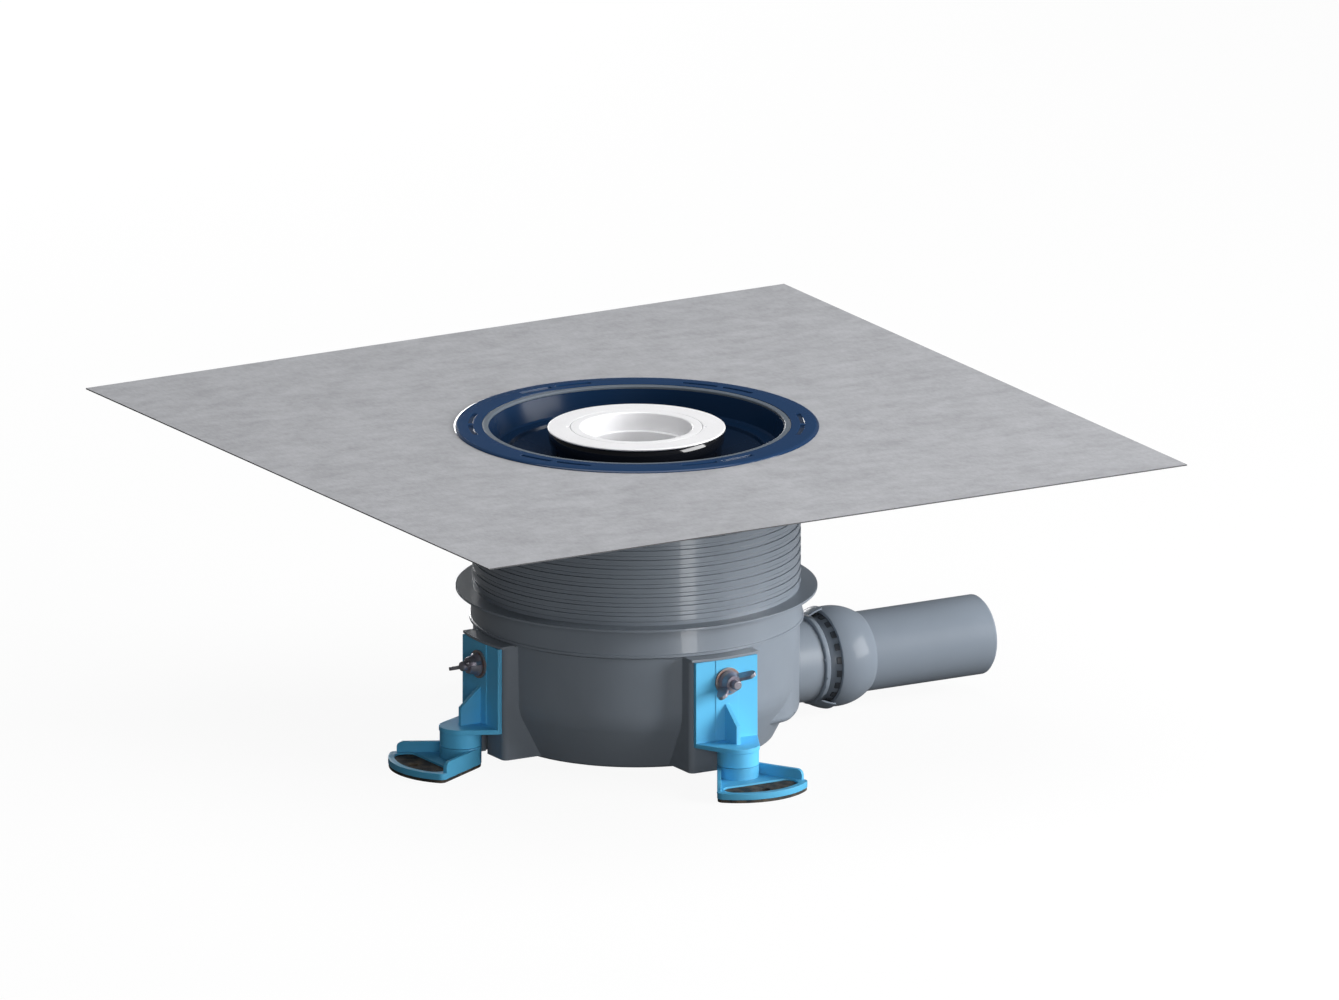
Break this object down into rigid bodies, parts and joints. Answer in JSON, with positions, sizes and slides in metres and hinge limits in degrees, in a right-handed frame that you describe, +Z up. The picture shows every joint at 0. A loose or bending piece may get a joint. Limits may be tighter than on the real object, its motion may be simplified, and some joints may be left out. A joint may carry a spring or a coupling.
{
  "type": "shower drain body",
  "caption": "Floor drain body with a square sealing sheet, lift-out odour trap, ball-jointed side outlet and height-adjustable swivel feet.",
  "frame": {"origin": "on the floor under the middle of the bowl", "axes": "+Z up, +X along the outlet pipe"},
  "size_m": [0.5, 0.5, 0.2025],
  "materials": {
    "sheet_fleece": "matt fleece",
    "ring_blue": "glossy",
    "seal_grey": "matt",
    "seal_black": "matt",
    "body_grey": "satin moulded",
    "clip_dark": "satin moulded",
    "trap_black": "glossy",
    "trap_white": "satin gloss",
    "bracket_blue": "satin moulded",
    "foot_rubber": "matt",
    "fastener_steel": "zinc plated"
  },
  "bodies": {
    "drain": {"sealing_sheet": "sheet_fleece", "adapter_ring": "ring_blue", "rim_seal": "seal_grey", "riser_seal": "seal_black", "riser": "body_grey", "body_seal": "seal_black", "bowl": "body_grey", "ball_spigot": "body_grey", "trap_seal": "seal_black"},
    "trap": {"trap_cup": "trap_black", "trap_flange": "trap_white", "insert_seal": "seal_black"},
    "dip": {"dip_tube": "trap_white"},
    "ball_swing": {"ball_seal": "seal_black"},
    "ball_tilt": {"ball_ring": "clip_dark"},
    "outlet": {"outlet_pipe": "body_grey"},
    "front_bracket": {"bracket_front": "bracket_blue", "stud_front": "fastener_steel", "washer_front": "fastener_steel"},
    "front_nut": {"wing_nut_front": "fastener_steel"},
    "front_foot": {"foot_front": "bracket_blue", "foot_pad_front": "foot_rubber"},
    "left_bracket": {"bracket_left": "bracket_blue", "stud_left": "fastener_steel", "washer_left": "fastener_steel"},
    "left_nut": {"wing_nut_left": "fastener_steel"},
    "left_foot": {"foot_left": "bracket_blue", "foot_pad_left": "foot_rubber"},
    "back_bracket": {"bracket_back": "bracket_blue", "stud_back": "fastener_steel", "washer_back": "fastener_steel"},
    "back_nut": {"wing_nut_back": "fastener_steel"},
    "back_foot": {"foot_back": "bracket_blue", "foot_pad_back": "foot_rubber"}
  },
  "joints": [
    {"name": "trap_lift", "type": "slide", "parent": "drain", "child": "trap", "axis": [0, 0, 1], "range_m": [0, 0.12]},
    {"name": "dip_tube_lift", "type": "slide", "parent": "trap", "child": "dip", "axis": [0, 0, 1], "range_m": [0, 0.1]},
    {"name": "outlet_swing", "type": "hinge", "parent": "drain", "child": "ball_swing", "pos_m": [0.139, 0, 0.035], "axis": [0, 0, 1], "range_deg": [-6, 6]},
    {"name": "outlet_tilt", "type": "hinge", "parent": "ball_swing", "child": "ball_tilt", "pos_m": [0.139, 0, 0.035], "axis": [0, 1, 0], "range_deg": [-6, 6]},
    {"name": "outlet_spin", "type": "hinge", "parent": "ball_tilt", "child": "outlet", "pos_m": [0.139, 0, 0.035], "axis": [1, 0, 0], "continuous": true},
    {"name": "front_height", "type": "slide", "parent": "drain", "child": "front_bracket", "axis": [0, 0, 1], "range_m": [-0.03, 0]},
    {"name": "front_nut_turn", "type": "hinge", "parent": "front_bracket", "child": "front_nut", "pos_m": [0, -0.118, 0.0635], "axis": [0, -1, 0], "continuous": true},
    {"name": "front_foot_swivel", "type": "hinge", "parent": "front_bracket", "child": "front_foot", "pos_m": [0, -0.126, 0.0135], "axis": [0, 0, 1], "range_deg": [-60, 60]},
    {"name": "left_height", "type": "slide", "parent": "drain", "child": "left_bracket", "axis": [0, 0, 1], "range_m": [-0.03, 0]},
    {"name": "left_nut_turn", "type": "hinge", "parent": "left_bracket", "child": "left_nut", "pos_m": [-0.118, 0, 0.0635], "axis": [-1, 0, 0], "continuous": true},
    {"name": "left_foot_swivel", "type": "hinge", "parent": "left_bracket", "child": "left_foot", "pos_m": [-0.126, 0, 0.0135], "axis": [0, 0, 1], "range_deg": [-60, 60]},
    {"name": "back_height", "type": "slide", "parent": "drain", "child": "back_bracket", "axis": [0, 0, 1], "range_m": [-0.03, 0]},
    {"name": "back_nut_turn", "type": "hinge", "parent": "back_bracket", "child": "back_nut", "pos_m": [0, 0.118, 0.0635], "axis": [0, 1, 0], "continuous": true},
    {"name": "back_foot_swivel", "type": "hinge", "parent": "back_bracket", "child": "back_foot", "pos_m": [0, 0.126, 0.0135], "axis": [0, 0, 1], "range_deg": [-60, 60]}
  ]
}
